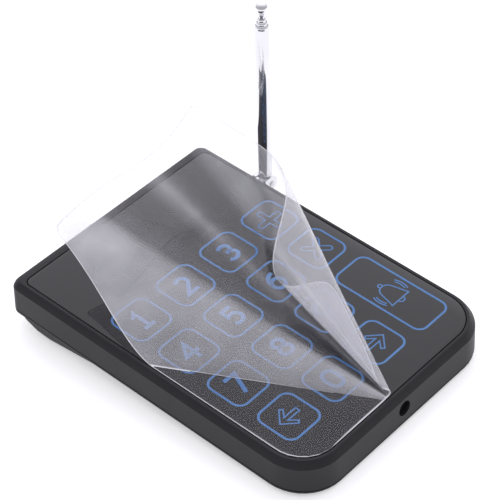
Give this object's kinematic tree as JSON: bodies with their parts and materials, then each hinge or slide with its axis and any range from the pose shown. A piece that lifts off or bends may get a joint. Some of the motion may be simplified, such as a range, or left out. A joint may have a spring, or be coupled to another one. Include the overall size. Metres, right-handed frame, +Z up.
{
  "type": "wireless guest call keypad",
  "caption": "Flat touch keypad transmitter with a glossy key panel, a telescopic side antenna and a clear film half peeled off its face.",
  "frame": {"origin": "middle of the part's footprint, on the surface that its feet stand on", "axes": "+X towards the user's right, where the antenna is; +Y towards the raised far end; +Z up, with the antenna standing along it"},
  "size_m": [0.1226, 0.1524, 0.1023],
  "materials": {
    "housing": "fine textured charcoal",
    "panel": "polished black acrylic",
    "key_print": "blue ink under the panel's surface",
    "clear_film": "clear protective film, slightly milky and scratched",
    "chrome": "polished",
    "steel": "zinc plated",
    "brass": "plain",
    "rubber": "matte",
    "circuit_board": "solder mask",
    "chip": "moulded",
    "tape": "matte",
    "battery_foil": "foil pouch"
  },
  "bodies": {
    "base": {"upper_housing": "housing", "lower_housing": "housing", "touch_panel": "panel", "panel_adhesive": "tape", "touch_sensor_board": "circuit_board", "main_board": "circuit_board", "microcontroller_chip": "chip", "crystal_can": "steel", "voltage_regulator": "chip", "smoothing_capacitor": "steel", "buzzer": "chip", "radio_module_board": "circuit_board", "radio_shield_can": "steel", "battery_socket": "tape", "board_link_connector": "chip", "touch_controller_chip": "chip", "dc_jack_centre_pin": "brass", "dc_jack_body": "chip", "battery_pack": "battery_foil", "battery_pad": "rubber", "battery_lead": "rubber", "board_screw_1": "steel", "board_screw_2": "steel", "board_screw_3": "steel", "board_screw_4": "steel", "antenna_nut": "brass", "antenna_lead": "rubber", "case_screw_1": "steel", "case_screw_2": "steel", "case_screw_3": "steel", "case_screw_4": "steel", "foot_1": "rubber", "foot_2": "rubber", "foot_3": "rubber", "foot_4": "rubber", "antenna_socket": "chrome"},
    "film": {"protective_film": "clear_film"},
    "antenna_base": {"antenna_swivel": "chrome", "antenna_elbow_pin": "steel", "antenna_spring_washer": "steel", "antenna_retaining_clip": "steel"},
    "antenna_mast": {"antenna_knuckle": "chrome", "antenna_tube_1": "chrome"},
    "antenna_section_2": {"antenna_tube_2": "chrome"},
    "antenna_section_3": {"antenna_tube_3": "chrome"},
    "antenna_section_4": {"antenna_rod": "chrome", "antenna_tip": "chrome"}
  },
  "joints": [
    {"name": "film_lift_off", "type": "slide", "parent": "base", "child": "film", "axis": [0, -0.0471, 0.9989], "range_m": [0, 0.08]},
    {"name": "antenna_swivel_turn", "type": "hinge", "parent": "base", "child": "antenna_base", "pos_m": [0.0579, 0.04684, 0.01274], "axis": [1, 0, 0], "range_deg": [-90, 90]},
    {"name": "antenna_elbow_fold", "type": "hinge", "parent": "antenna_base", "child": "antenna_mast", "pos_m": [0.0579, 0.04684, 0.01274], "axis": [0, 1, 0], "range_deg": [0, 90]},
    {"name": "antenna_extend_2", "type": "slide", "parent": "antenna_mast", "child": "antenna_section_2", "axis": [0, 0, 1], "range_m": [0, 0.065]},
    {"name": "antenna_extend_3", "type": "slide", "parent": "antenna_section_2", "child": "antenna_section_3", "axis": [0, 0, 1], "range_m": [0, 0.065]},
    {"name": "antenna_extend_4", "type": "slide", "parent": "antenna_section_3", "child": "antenna_section_4", "axis": [0, 0, 1], "range_m": [0, 0.065]}
  ]
}
